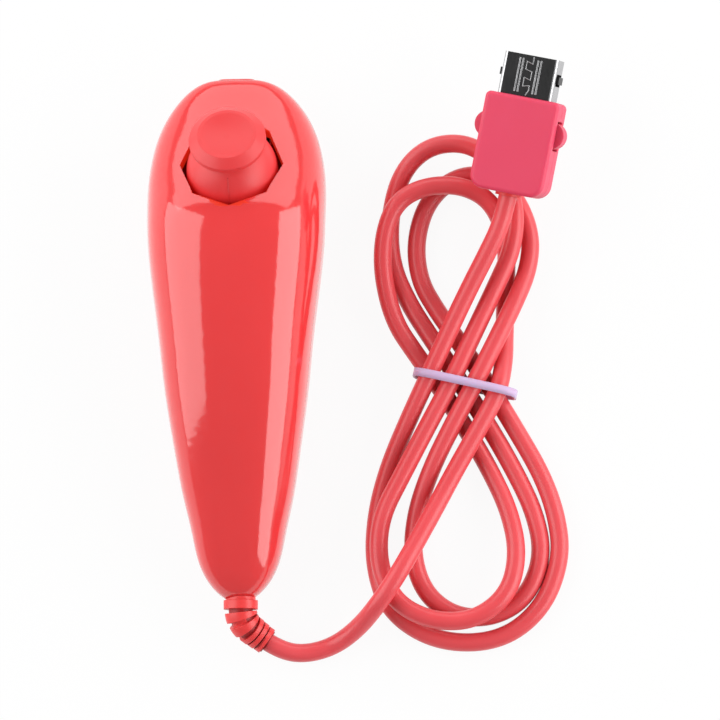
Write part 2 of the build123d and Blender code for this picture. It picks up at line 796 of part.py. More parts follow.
# Strain relief: flange and neck in the tail, ribbed boot outside
sleeve = tail * rod(sleeve_neck_radius, -sleeve_start_y, -collar_y)
sleeve = sleeve + tail * rod(sleeve_flange_radius, -sleeve_start_y, -sleeve_start_y + sleeve_flange_thick)
sleeve = sleeve + tail * rod(collar_radius, -collar_y, -collar_y + collar_length)
sleeve = sleeve + tube(boot_edges, boot_core_radius)
boot_lengths = [2 * half * radius for half, radius in (arc_numbers(*arc) for arc in boot_arcs)]
for k, (index, place_share) in enumerate(boot_ring_share):
    arc = boot_arcs[index]
    half_share = boot_ring_thick / 2 / boot_lengths[index]
    ring_places = [arc_place(*arc, place_share + side * half_share) for side in (-1, 0, 1)]
    part = k / (len(boot_ring_share) - 1)
    radius = boot_ring_radius + (boot_ring_last_radius - boot_ring_radius) * part
    sleeve = sleeve + tube([ThreePointArc(*ring_places)], radius)
write("strain_relief", sleeve - sleeve_bore)
write("cord_inside", tube(inside_edges, cord_radius))

# Clamp over the jacket's end, with two screws
clamp = bar(tail_exit_x - clamp_width / 2, tail_exit_x + clamp_width / 2, clamp_y - clamp_length / 2,
            clamp_y + clamp_length / 2, tail_exit_z + fit_gap, tail_exit_z + cord_radius + clamp_thick)
clamp = clamp - clamp_groove
clamp_screws = []
lower_bite = tail_exit_z - cord_radius
for s in (-1, 1):
    x = tail_exit_x + s * clamp_screw_x
    clamp = clamp - rod(clamp_screw_radius + screw_hole_gap, 0, body_height, x, clamp_y)
    top = tail_exit_z + cord_radius + clamp_thick
    clamp_screws.append(rod(clamp_screw_radius, lower_bite, top, x, clamp_y)
                        + rod(clamp_screw_head_radius, top, top + clamp_screw_head, x, clamp_y))
write("cord_clamp", clamp)
write("clamp_screws", Compound(clamp_screws))

# Wires from the jacket's end to the header
wires = []
header_end = Pos(header_centre_x, header_place_y - header_y / 2, board_top + header_thick / 2)
header_back = (stick * header_end).position
for k in range(wire_count):
    place = k - (wire_count - 1) / 2
    x0 = tail_exit_x + place * wire_pitch
    x1 = wire_side_x + k * wire_lane_pitch
    x2 = header_centre_x + place * wire_pitch
    y0 = jacket_end_y + cord_gap
    y3 = header_back.Y - wire_end_gap
    wires.append(FilletPolyline(
        (x0, y0, tail_exit_z), (x0, y0 + wire_start_run, tail_exit_z),
        (x1, screw_places[0] - boss_radius, wire_low_z),
        (x1, screw_places[1] + boss_radius, header_back.Z - wire_end_run),
        (x2, y3 - wire_end_run, header_back.Z), (x2, y3, header_back.Z), radius=wire_bend))
write("lead_wires", Compound([tube([wire], wire_radius) for wire in wires]))

# Hank: places and headings of its route, from the first strand to the last
over_lean = math.radians(waist_lean)
low_lean = math.radians(under_lean)
route = [(hank_start, unit(hank_start_heading))]


def add_loop(values, way):
    x, y, half, reach, right_z, end_z, left_z = values
    route.append(((x + half, y, right_z), (0, way, 0)))
    route.append(((x, y + way * reach, end_z), (-1, 0, 0)))
    route.append(((x - half, y, left_z), (0, -way, 0)))


for k in range(turns + 1):
    route.append((over_before[k], None))
    place = over_place[k]
    route.append(((waist_x + place * math.cos(over_lean), waist_y + place * math.sin(over_lean),
                   over_height[k]), None))
    if k < turns:
        route.append((over_after[k], None))
        add_loop(head_loops[k], 1)
        route.append((under_before[k], None))
        place = under_place[k]
        route.append(((waist_x + place * math.cos(low_lean), waist_y + place * math.sin(low_lean),
                       waist_low), None))
        route.append((under_after[k], None))
        add_loop(tail_loops[k], -1)
route.append((hank_end, unit(hank_end_heading)))


def heading_at(k):
    # a free place heads from its neighbour before to its neighbour after
    before, here, after = route[k - 1][0], route[k][0], route[k + 1][0]
    slope_in = (here[2] - before[2]) / math.dist(here[:2], before[:2])
    slope_out = (after[2] - here[2]) / math.dist(after[:2], here[:2])
    level = math.dist(after[:2], before[:2])
    rise = 0
    if slope_in * slope_out > 0:
        rise = 2 * slope_in * slope_out / (slope_in + slope_out) * level
    return unit((after[0] - before[0], after[1] - before[1], rise))


route = [(place, heading or heading_at(k)) for k, (place, heading) in enumerate(route)]
hank_arcs = along_path(route)
hank_points = []
hank_along = []
run = 0
for arc in hank_arcs:
    half, radius = arc_numbers(*arc)
    length = math.dist(arc[0], arc[2]) if radius == math.inf else 2 * half * radius
    for n in range(gap_samples):
        hank_points.append(arc_place(*arc, n / gap_samples))
        hank_along.append(run + length * n / gap_samples)
    run = run + length
least = math.inf
where = None
for i in range(len(hank_points)):
    for j in range(i + 1, len(hank_points)):
        if hank_along[j] - hank_along[i] > 3 * cord_diameter:
            apart = math.dist(hank_points[i], hank_points[j])
            if apart < least:
                least = apart
                where = (hank_points[i], hank_points[j])
print("hank length %.1f least gap %.3f" % (run, least - cord_diameter), where)
print("hank least radius %.2f" % min(arc_numbers(*arc)[1] for arc in hank_arcs))
print("hank lowest %.2f" % (min(p[2] for p in hank_points) - cord_radius))
hank = tube([arc_edge(*arc) for arc in hank_arcs], cord_radius)
print("hank volume share %.4f" % (hank.volume / (math.pi * cord_radius ** 2 * run)))
write("cord_hank", hank)

# Plug frame
plug = (Location(plug_place) * Rot(0, 0, plug_yaw) * Rot(plug_pitch, 0, 0) * Rot(0, plug_roll, 0))
neck_end_local = -plug_length / 2 - neck_reach
neck_end = tuple((plug * Pos(0, neck_end_local, 0)).position)
plug_ahead = unit(step(tuple((plug * Pos(0, plug_length, 0)).position), tuple(plug.position), -1.0))


# Free cord stretches: straight runs with an arc at each corner
def cord_run(name, places):
    radii = []
    for before, here, after in zip(places, places[1:], places[2:]):
        first = step(here, before, -1.0)
        second = step(after, here, -1.0)
        half = math.acos(inner(unit(first), unit(second))) / 2
        shorter = min(math.dist(before, here), math.dist(here, after))
        radii.append(bend_share * shorter / math.tan(half))
    line = FilletPolyline(*places, radius=radii)
    solid = tube([line], cord_radius)
    share = solid.volume / (math.pi * cord_radius ** 2 * line.length)
    print(name, "length %.1f volume share %.4f radii" % (line.length, share), [round(r, 1) for r in radii])
    return write(name, solid)


start_heading = unit(hank_start_heading)
end_heading = unit(hank_end_heading)
lead_start = step(boot_end, unit(boot_heading), cord_gap)
lead_route = [lead_start, step(boot_end, unit(boot_heading), exit_run)] + lead_points
lead_route = lead_route + [step(hank_start, start_heading, -join_run), hank_start]
cord_run("cord_lead", lead_route)
tail_route = [hank_end, step(hank_end, end_heading, neck_run)] + tail_points
tail_route = tail_route + [step(neck_end, plug_ahead, -neck_run), neck_end]
cord_run("cord_tail", tail_route)

# Tie band: a closed loop across the strands at the waist
tie_frame = Plane(origin=(waist_x, waist_y, 0), x_dir=(math.cos(over_lean), math.sin(over_lean), 0),
                  z_dir=(math.sin(over_lean), -math.cos(over_lean), 0))
tie_size = (tie_right - tie_left, tie_top - tie_bottom)
tie_centre = ((tie_right + tie_left) / 2, (tie_top + tie_bottom) / 2)
tie_outer = RectangleRounded(tie_size[0], tie_size[1], tie_round)
tie_inner = RectangleRounded(tie_size[0] - 2 * tie_thick, tie_size[1] - 2 * tie_thick, tie_round - tie_thick)
tie_ring = extrude(tie_outer - tie_inner, amount=tie_width / 2, both=True)
write("cord_tie", tie_frame.location * Pos(tie_centre[0], tie_centre[1], 0) * tie_ring)

# Plug housing: two covers, hollow, with a bored neck and side windows
half_plug = plug_length / 2
head_y = half_plug
shell_back_y = head_y - shell_inside
shell_front_y = head_y + shell_reach


def plug_block(inset, low, high):
    width = plug_width - 2 * inset
    length = plug_length - 2 * inset
    block = bar(-width / 2, width / 2, -length / 2, length / 2, low, high)
    uprights = block.edges().filter_by(Axis.Z)
    tail_edges = [e for e in uprights if e.center().Y < 0]
    head_edges = [e for e in uprights if e.center().Y > 0]
    block = fillet(tail_edges, plug_corner - inset)
    return block if inset else fillet([e for e in block.edges().filter_by(Axis.Z) if e.center().Y > 0
                                       and abs(e.center().Y - length / 2) < plug_edge], plug_head_corner)


half_thick = plug_thick / 2
covers = []
button_window = bar(-plug_width, plug_width, latch_button_y - latch_button_radius - button_gap,
                    latch_button_y + latch_button_radius + button_gap,
                    -latch_half_thick - 2 * button_gap, latch_half_thick + 2 * button_gap)
shell_seat = bar(-shell_width / 2 - fit_gap, shell_width / 2 + fit_gap, shell_back_y - fit_gap,
                 head_y + cut_over, -shell_thick / 2 - fit_gap, shell_thick / 2 + fit_gap)
neck_axis = Rot(90, 0, 0)
neck_bore = neck_axis * rod(neck_outer_radius + fit_gap, half_plug - neck_inside, half_plug + cut_over)
neck_bore = neck_bore + neck_axis * rod(cord_radius + cord_gap, 0, half_plug)
neck_seat = neck_axis * rod(neck_flange_radius + fit_gap, half_plug - neck_inside - fit_gap,
                            half_plug - neck_inside + neck_flange + fit_gap)
for side in (1, -1):
    low, high = (plug_seam_gap / 2, half_thick) if side > 0 else (-half_thick, -plug_seam_gap / 2)
    cover = plug_block(0, low, high)
    flat = cover.faces().sort_by(Axis.Z)[-1 if side > 0 else 0]
    cover = fillet(flat.edges(), plug_edge)
    inside_low, inside_high = (0, half_thick - plug_wall) if side > 0 else (-half_thick + plug_wall, 0)
    cavity = plug_block(plug_wall, inside_low, inside_high)
    cover = cover - cavity
    seat = bar(-plug_width / 2 + plug_wall / 2, plug_width / 2 - plug_wall / 2, head_y - 2 * plug_wall,
               head_y - plug_wall / 2, min(low, high), max(low, high)) & plug_block(plug_edge, low, high)
    neck_block = bar(-neck_flange_radius - neck_wall, neck_flange_radius + neck_wall,
                     -half_plug + plug_wall / 2, -half_plug + neck_inside + plug_wall / 2, low, high)
    neck_block = neck_block & plug_block(plug_edge, low, high)
    cover = cover + seat + neck_block
    cover = cover - shell_seat - neck_bore - neck_seat - button_window
    for x in (-latch_pin_x, latch_pin_x):
        reach = half_thick - plug_wall * (1 - latch_seat_share)
        cover = cover - rod(latch_pin_radius + fit_gap, -reach, reach, x, latch_pin_y)
    covers.append(cover)
write("plug_front_cover", plug * covers[0])
write("plug_rear_cover", plug * covers[1])
neck = neck_axis * rod(neck_outer_radius, half_plug - neck_inside, half_plug + neck_reach)
neck = neck + neck_axis * rod(neck_flange_radius, half_plug - neck_inside,
                              half_plug - neck_inside + neck_flange)
neck = neck - neck_axis * rod(cord_radius + cord_gap, 0, plug_length)
write("plug_neck", plug * neck)
write("plug_cord_end", plug * neck_axis * rod(cord_radius, half_plug - plug_cord_inside,
                                              half_plug + neck_reach))

# Metal connector with two pairs of pressed ribs on each broad side
profile = Plane.XZ * (RectangleRounded(shell_width, shell_thick, shell_round)
                      - RectangleRounded(shell_width - 2 * shell_skin, shell_thick - 2 * shell_skin,
                                         shell_round - shell_skin))
connector = Pos(0, shell_front_y, 0) * extrude(profile, amount=shell_reach + shell_inside)
for side in (-1, 1):
    for pair in (-rib_pair_x, rib_pair_x):
        for k in (-1, 1):
            x = pair + k * rib_pitch / 2
            z = side * (shell_thick / 2 + rib_height / 2 - shell_skin / 4)
            connector = connector + bar(x - rib_width / 2, x + rib_width / 2, head_y + rib_end,
                                        shell_front_y - rib_end, z - rib_height / 2 - shell_skin / 4,
                                        z + rib_height / 2)
    window_x = side * shell_width / 2
    connector = connector - bar(window_x - shell_round, window_x + shell_round,
                                latch_hook_y - latch_window_gap,
                                latch_hook_y + latch_hook_length + latch_window_gap,
                                -latch_half_thick - button_gap, latch_half_thick + button_gap)
write("connector_shell", plug * connector)
core_front_y = head_y + core_reach
core_inner_half = shell_thick / 2 - shell_skin - fit_gap
core = bar(-core_width / 2, core_width / 2, shell_back_y, core_front_y, -core_thick / 2, core_thick / 2)
core = core + bar(-core_width / 2, core_width / 2, shell_back_y, shell_back_y + core_flange_thick,
                  -core_inner_half, core_inner_half)
core = core - bar(-core_width / 2 + plug_wall / 2, core_width / 2 - plug_wall / 2,
                  core_front_y - core_slot_depth, core_front_y + cut_over, -core_slot / 2, core_slot / 2)
contacts = []
for k in range(contact_count):
    x = (k - (contact_count - 1) / 2) * contact_pitch
    x = x * (core_width - 2 * plug_wall) / (core_width - plug_wall)
    slot = bar(x - contact_width / 2 - fit_gap, x + contact_width / 2 + fit_gap,
               shell_back_y - contact_back - fit_gap, core_front_y - core_slot_depth / 3 + fit_gap,
               -core_slot / 2 - contact_thick - fit_gap, -core_slot / 2 + fit_gap)
    core = core - slot
    contacts.append(plug * bar(x - contact_width / 2, x + contact_width / 2, shell_back_y - contact_back,
                               core_front_y - core_slot_depth / 3, -core_slot / 2 - contact_thick,
                               -core_slot / 2))
write("connector_core", plug * core)
write("contact_pins", Compound(contacts))

# Latches: a pivoting arm with a side button and a hook, a pin and a torsion spring each
def side_bar(side, x0, x1, y0, y1, half):
    return bar(min(side * x0, side * x1), max(side * x0, side * x1), y0, y1, -half, half)


latch_pins = []
torsion_springs = []
for name, side in (("latch_left", -1), ("latch_right", 1)):
    outer_x = latch_arm_x + latch_arm
    step_x = latch_inner_x + latch_arm
    arm = side_bar(side, latch_arm_x, outer_x, latch_pin_y, latch_step_y + latch_arm, latch_half_thick)
    arm = arm + side_bar(side, latch_inner_x, outer_x, latch_step_y, latch_step_y + latch_arm,
                         latch_half_thick)
    arm = arm + side_bar(side, latch_inner_x, step_x, latch_step_y, latch_hook_y + latch_hook_length,
                         latch_half_thick)
    arm = arm + side_bar(side, latch_inner_x, shell_width / 2 + latch_hook_out, latch_hook_y,
                         latch_hook_y + latch_hook_length, latch_half_thick)
    arm = arm + rod(latch_barrel_radius, -latch_half_thick, latch_half_thick,
                    side * latch_pin_x, latch_pin_y)
    button = rod(latch_button_radius, -latch_half_thick, latch_half_thick, side * latch_button_x,
                 latch_button_y)
    arm = arm + (button & side_bar(side, latch_arm_x, plug_width, -plug_length, plug_length, plug_thick))
    arm = arm - rod(latch_pin_radius + pin_gap, -plug_thick, plug_thick, side * latch_pin_x, latch_pin_y)
    write(name, plug * arm)
    reach = half_thick - plug_wall * (1 - latch_seat_share) - fit_gap
    latch_pins.append(plug * rod(latch_pin_radius, -reach, reach, side * latch_pin_x, latch_pin_y))
    spring_floor = latch_half_thick + torsion_wire / 2 + spring_gap
    spring_roof = half_thick - plug_wall - torsion_wire / 2 - spring_gap
    torsion = helix_path(torsion_radius, (spring_roof - spring_floor) / torsion_curls, torsion_curls,
                         spring_floor)
    torsion_springs.append(plug * Pos(side * latch_pin_x, latch_pin_y, 0)
                           * tube([arc_edge(*arc) for arc in torsion], torsion_wire / 2))
write("latch_pins", Compound(latch_pins))
write("latch_springs", Compound(torsion_springs))
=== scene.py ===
"""Looks of a one-handed motion controller wand with a folded cord and a latching plug."""

import math

import bmesh
import bpy
from mathutils import Matrix, Vector


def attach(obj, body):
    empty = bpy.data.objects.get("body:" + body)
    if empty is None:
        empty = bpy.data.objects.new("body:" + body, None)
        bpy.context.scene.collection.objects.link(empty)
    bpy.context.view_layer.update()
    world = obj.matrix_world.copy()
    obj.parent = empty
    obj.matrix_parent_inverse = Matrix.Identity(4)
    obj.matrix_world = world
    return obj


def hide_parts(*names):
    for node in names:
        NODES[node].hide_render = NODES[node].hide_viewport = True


MM = 0.001
UP = Vector((0, 0, 1))

# Camera, in the row frame
CAMERA_TARGET = Vector((25.7, -3.2, 0.0)) * MM
CAMERA_LOOK = Vector((0.077, -0.13, 1.0)).normalized()
CAMERA_DISTANCE = 1.0
CAMERA_ROLL = math.radians(0.16)
CAMERA_CLIP_END = 10.0
LENS_MM = 229.0
SENSOR_MM = 36.0

# Plug: its frame in the row frame and the sizes that its own pieces follow
PLUG_PLACE_MM = (61.2, 40.8, 16.6)
PLUG_TURN_DEG = (9.0, -7.5, -12.0)
PLUG_HEAD_Y = 10.5 * MM
SHELL_HALF_THICK = 3.4 * MM
SHELL_FRONT_Y = 19.5 * MM
# FLAT_FACING and RIB_RISE pick the connector's tilted and raised faces that get the painted highlight
FLAT_FACING = 0.99
RIB_RISE = 0.02 * MM

# Joint line on the connector: across and back from its front edge, and how deep and high its bar reaches
MEANDER_MM = [(0.6, -0.3), (0.6, -1.8), (-0.75, -1.4), (-0.75, -3.1), (0.7, -3.5), (0.7, -5.3),
              (-0.75, -4.9), (-0.75, -6.8), (0.7, -6.5), (0.7, -7.6), (0.2, -8.7)]
MEANDER_WIDTH = 0.26 * MM
MEANDER_LOW = Vector((0, 0, -0.05 * MM))
MEANDER_HIGH = Vector((0, 0, 0.06 * MM))

# Stick: centre of its dome, the lean of its frame and the mould line on the dome
DOME_CENTRE_MM = (0.0, 35.2465, 22.0048)
DOME_RADIUS = 9.9 * MM
STICK_LEAN = math.radians(26.0)
SEAM_START = math.radians(44.0)
SEAM_END = math.radians(80.0)
SEAM_STEPS = 14
SEAM_WIDTH = 0.28 * MM
SEAM_TOP_SHARE = 0.4
SEAM_PROUD = 0.07 * MM

# Stick's opening, where glow is painted: how far from the dome's axis its walls are looked for, what
# counts as a wall, the shell's underside and the housing's top, and the strength of the painted glow
OPENING_REACH = 15.0 * MM
OPENING_FACING = -0.3
UNDERSIDE_FACING = -0.2
HOUSING_TOP_FACING = 0.2
PAINTED_GLOW_STRENGTH = 0.5

# Boot: ends and knee of its bent axis, and the radius under its ribs, within which the slots get painted
# shade
BOOT_AXIS_MM = [(0.4, -58.1, 8.1), (0.4, -61.6, 7.4), (6.0, -65.0, 5.0)]
BOOT_STEPS = 24
BOOT_SHADED_SLOT_RADIUS = 2.8 * MM

# Tie band round the waist of the hank
TIE_CENTRE_MM = (48.95, -9.4, 5.35)
TIE_LEAN = math.radians(-13.0)
TIE_HALF_WIDE = 11.45 * MM
TIE_HALF_HIGH = 5.2 * MM
TIE_WIDTH = 1.8 * MM
TIE_THICK = 0.4 * MM
TIE_SQUARENESS = 4.0
TIE_STEPS = 96

# Cord
CORD_DIAMETER = 4.0 * MM
CORD_RESOLUTION = 10
CORD_BEVEL_RESOLUTION = 7

CORD_POINTS_MM = [
    # out of the boot, along the table and up over the lower loops
    (6.0, -65.0, 5.0), (9.2, -67.0, 4.3), (14.4, -67.5, 2.9), (20.4, -65.7, 2.4), (26.0, -61.8, 5.4),
    (31.0, -56.6, 11.6), (35.0, -50.6, 12.2), (38.6, -44.0, 10.4),
    # first strand, over the waist
    (42.6, -36.4, 8.4), (46.8, -28.3, 7.0), (51.9, -19.4, 7.2), (56.2, -11.6, 7.5), (57.4, -4.6, 4.9),
    # front head loop
    (57.4, 2.0, 2.05), (57.8, 13.0, 2.05), (58.1, 22.6, 2.6), (55.2, 30.4, 5.2), (48.8, 34.0, 6.9),
    (40.6, 34.0, 6.9), (34.2, 30.6, 6.9), (31.4, 23.4, 6.9), (31.1, 14.6, 6.6),
    # under the waist, first
    (33.4, 4.6, 4.4), (38.2, -2.6, 3.4), (43.6, -10.2, 3.0), (49.4, -19.6, 2.4), (54.6, -28.9, 2.05),
    # front tail loop
    (58.4, -37.4, 3.4), (60.2, -46.6, 5.6), (58.0, -55.4, 6.4), (50.6, -60.9, 6.75),
    (41.4, -60.9, 6.75), (33.6, -56.8, 6.75), (30.0, -48.6, 6.75), (30.4, -38.6, 6.75),
    # second strand over the waist
    (35.4, -29.0, 6.7), (40.6, -19.2, 7.1), (46.4, -8.6, 7.7), (51.4, 2.4, 7.1),
    # outer head loop
    (55.6, 11.2, 6.85), (59.4, 19.4, 6.85), (60.4, 28.4, 6.8), (57.2, 37.4, 6.4), (50.6, 43.4, 6.1),
    (41.6, 43.4, 5.0), (35.2, 37.8, 3.6), (32.4, 28.0, 2.3), (32.7, 17.6, 2.05),
    # under the waist, second
    (36.6, 8.6, 2.05), (42.0, 0.2, 2.7), (48.2, -9.4, 3.0), (54.4, -19.2, 2.5), (59.8, -28.9, 2.05),
    # middle tail loop
    (63.8, -37.6, 2.05), (65.4, -46.6, 2.05), (62.0, -55.4, 2.05), (55.0, -59.8, 2.05),
    (46.6, -59.8, 2.05), (39.8, -54.8, 2.05), (37.0, -46.4, 2.05), (38.0, -37.0, 3.4),
    # third strand over the waist
    (41.6, -27.6, 6.0), (46.0, -19.0, 7.1), (51.0, -9.8, 7.6), (55.6, -0.6, 7.2),
    # inner head loop
    (59.8, 8.0, 6.5), (62.8, 15.8, 3.4), (63.4, 23.8, 2.05), (60.0, 32.2, 2.05), (54.8, 36.9, 2.05),
    (47.2, 36.9, 2.05), (40.8, 31.6, 2.05), (38.0, 22.8, 2.05), (38.8, 14.0, 2.05),
    # under the waist, third
    (42.6, 7.2, 2.05), (47.6, 0.0, 2.7), (53.4, -8.6, 3.0), (59.6, -19.0, 2.5), (65.2, -28.8, 2.05),
    # outer tail loop
    (68.4, -37.8, 2.05), (69.4, -47.2, 2.05), (65.2, -58.2, 2.05), (55.8, -65.2, 2.05),
    (42.4, -65.2, 2.05), (32.0, -58.6, 2.05), (28.7, -48.4, 2.05), (29.2, -37.6, 2.05),
    # last strand over the waist, up to the plug
    (31.8, -27.6, 2.2), (36.2, -18.0, 5.6), (41.2, -7.8, 7.8), (45.6, 1.6, 8.6), (50.2, 10.8, 10.4),
    (54.3, 18.2, 12.4), (57.6, 24.6, 14.0), (58.9, 30.1, 14.9),
]

# Surfaces: spread of the noise that is used, scale of the patches and of the grain's height
NOISE_LOW = 0.3
NOISE_HIGH = 0.7
BEVEL_SAMPLES = 6
PATCH_SCALE = 90.0
GRAIN_HEIGHT = 0.05 * MM
SUBSURFACE_RADIUS = (1.0, 0.25, 0.2)
SUBSURFACE_SCALE = 1.5 * MM
COAT_ROUGHNESS = 0.05
METAL_EDGE = 0.1 * MM
METAL_PATCH_SCALE = 180.0
BRUSH_SCALE = 2500.0
BRUSH_STRETCH = (1.0, 0.08, 1.0)
BRUSH_STRENGTH = 0.06
BRUSH_HEIGHT = 0.02 * MM

# Floor and surroundings
FLOOR_REACH = 4.0
FLOOR_DROP = 0.05 * MM
FLOOR_GREY = 0.85
FLOOR_ROUGHNESS = 0.9
FLOOR_SEEN_SHARE = 0.93
SKY_STRENGTH = 0.3

# Lamps, in metres and watts: name, place, width, height, power
LAMP_TARGET = Vector((0.0, 0.0, 0.02))
LAMPS = [("softbox_left", Vector((-0.58, 0.09, 0.40)), 0.8, 0.82, 5.2),
         ("softbox_right", Vector((0.64, -0.035, 0.30)), 0.95, 0.54, 5.4),
         ("softbox_head", Vector((0.0, 0.74, 0.34)), 1.9, 0.38, 4.2)]


def linear(red, green, blue):
    """Shader colour of an sRGB colour given as 0 to 255."""
    values = []
    for value in (red, green, blue):
        share = value / 255
        values.append(share / 12.92 if share <= 0.04045 else ((share + 0.055) / 1.055) ** 2.4)
    return (*values, 1.0)


class Shader:
    """A node material around one Principled BSDF."""

    def __init__(self, name):
        self.material = bpy.data.materials.new(name)
        self.material.use_nodes = True
        self.nodes = self.material.node_tree.nodes
        self.links = self.material.node_tree.links
        self.surface = self.nodes["Principled BSDF"]
        self.place = self.nodes.new("ShaderNodeTexCoord").outputs["Object"]

    def noise(self, scale, detail=3.0, roughness=0.5, stretch=None):
        source = self.place
        if stretch:
            mapping = self.nodes.new("ShaderNodeMapping")
            mapping.inputs["Scale"].default_value = stretch
            self.links.new(self.place, mapping.inputs["Vector"])
            source = mapping.outputs["Vector"]
        texture = self.nodes.new("ShaderNodeTexNoise")
        texture.inputs["Scale"].default_value = scale
        texture.inputs["Detail"].default_value = detail
        texture.inputs["Roughness"].default_value = roughness
        self.links.new(source, texture.inputs["Vector"])
        return texture.outputs["Fac"]

    def spread(self, value, low, high):
        """Noise mapped to the range from low to high."""
        ramp = self.nodes.new("ShaderNodeMapRange")
        ramp.inputs["From Min"].default_value = NOISE_LOW
        ramp.inputs["From Max"].default_value = NOISE_HIGH
        ramp.inputs["To Min"].default_value = low
        ramp.inputs["To Max"].default_value = high
        self.links.new(value, ramp.inputs["Value"])
        return ramp.outputs["Result"]

    def mix(self, factor, first, second):
        node = self.nodes.new("ShaderNodeMix")
        node.data_type = "RGBA"
        self.links.new(factor, node.inputs["Factor"])
        node.inputs["A"].default_value = first
        node.inputs["B"].default_value = second
        return node.outputs["Result"]

    def relief(self, grain, strength, distance, edge):
        """Fine grain as bump, over edges that catch light as if rounded by the radius edge."""
        bevel = self.nodes.new("ShaderNodeBevel")
        bevel.samples = BEVEL_SAMPLES
        bevel.inputs["Radius"].default_value = edge
        bump = self.nodes.new("ShaderNodeBump")
        bump.inputs["Strength"].default_value = strength
        bump.inputs["Distance"].default_value = distance
        self.links.new(grain, bump.inputs["Height"])
        self.links.new(bevel.outputs["Normal"], bump.inputs["Normal"])
        self.links.new(bump.outputs["Normal"], self.surface.inputs["Normal"])

    def link(self, output, socket):
        self.links.new(output, self.surface.inputs[socket])


def plastic(name, light, dark, rough, grain_scale, grain, edge=0.2 * MM, subsurface=0.0, coat=0.0):
    shader = Shader(name)
    shader.link(shader.mix(shader.noise(PATCH_SCALE), dark, light), "Base Color")
    shader.link(shader.spread(shader.noise(PATCH_SCALE * 2), rough * 0.9, rough * 1.1), "Roughness")
    shader.relief(shader.noise(grain_scale, 4.0), grain, GRAIN_HEIGHT, edge)
    shader.surface.inputs["Subsurface Weight"].default_value = subsurface
    shader.surface.inputs["Subsurface Radius"].default_value = SUBSURFACE_RADIUS
    shader.surface.inputs["Subsurface Scale"].default_value = SUBSURFACE_SCALE
    shader.surface.inputs["Coat Weight"].default_value = coat
    shader.surface.inputs["Coat Roughness"].default_value = COAT_ROUGHNESS
    return shader.material


def metal(name, light, dark, rough):
    shader = Shader(name)
    brushed = shader.noise(BRUSH_SCALE, 4.0, 0.6, BRUSH_STRETCH)
    shader.link(shader.mix(shader.noise(METAL_PATCH_SCALE), dark, light), "Base Color")
    shader.link(shader.spread(brushed, rough * 0.8, rough * 1.25), "Roughness")
    shader.surface.inputs["Metallic"].default_value = 1.0
    shader.relief(brushed, BRUSH_STRENGTH, BRUSH_HEIGHT, METAL_EDGE)
    return shader.material


def plug_frame():
    """Matrix from the plug's own frame to the row frame."""
    pitch, roll, yaw = (math.radians(value) for value in PLUG_TURN_DEG)
    turn = (Matrix.Rotation(yaw, 4, "Z") @ Matrix.Rotation(pitch, 4, "X")
            @ Matrix.Rotation(roll, 4, "Y"))
    return Matrix.Translation(Vector(PLUG_PLACE_MM) * MM) @ turn


def stick_frame():
    """Matrix from the stick's leaning frame to the row frame."""
    return Matrix.Translation(Vector(DOME_CENTRE_MM) * MM) @ Matrix.Rotation(-STICK_LEAN, 4, "X")


def add_object(name, data):
    thing = bpy.data.objects.new(name, data)
    bpy.context.scene.collection.objects.link(thing)
    return thing


def mesh_piece(name, points, faces, body, smooth):
    """An own mesh that rides on a body."""
    mesh = bpy.data.meshes.new(name)
    mesh.from_pydata([tuple(point) for point in points], [], faces)
    work = bmesh.new()
    work.from_mesh(mesh)
    bmesh.ops.recalc_face_normals(work, faces=work.faces)
    for face in work.faces:
        face.smooth = smooth
    work.to_mesh(mesh)
    work.free()
    piece = add_object(name, mesh)
    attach(piece, body)
    return piece


def band(name, sections, body, closed=False, smooth=True):
    """A bar through sections, each with the four corners at one place of its path."""
    points = [corner for section in sections for corner in section]
    count = len(sections)
    faces = []
    for k in range(count if closed else count - 1):
        near, far = 4 * k, 4 * ((k + 1) % count)
        faces += [(near + i, near + (i + 1) % 4, far + (i + 1) % 4, far + i) for i in range(4)]
    if not closed:
        faces += [(0, 1, 2, 3), (4 * count - 1, 4 * count - 2, 4 * count - 3, 4 * count - 4)]
    return mesh_piece(name, points, faces, body, smooth)


def superellipse(turn):
    """Point of the tie band's outline, as shares of its half width and half height."""
    across, rise = math.cos(turn), math.sin(turn)
    return (math.copysign(abs(across) ** (2 / TIE_SQUARENESS), across),
            math.copysign(abs(rise) ** (2 / TIE_SQUARENESS), rise))


def paint(material, *names):
    for name in names:
        mesh = NODES[name].data
        mesh.materials.clear()
        mesh.materials.append(material)


def second_paint(name, material, chosen):
    """A second material on the polygons of a CAD node whose centre and normal are chosen."""
    mesh = NODES[name].data
    mesh.materials.append(material)
    slot = len(mesh.materials) - 1
    for polygon in mesh.polygons:
        if chosen(polygon.center, polygon.normal):
            polygon.material_index = slot


def softbox(name, place, width, height, power):
    """A rectangular lamp that faces the wand."""
    light = bpy.data.lights.new(name, "AREA")
    light.shape = "RECTANGLE"
    light.size = width
    light.size_y = height
    light.energy = power
    thing = add_object(name, light)
    ahead = (LAMP_TARGET - place).normalized()
    across = ahead.cross(UP).normalized()
    upward = across.cross(ahead)
    turn = Matrix((across, upward, -ahead)).transposed()
    thing.matrix_world = Matrix.Translation(place) @ turn.to_4x4()


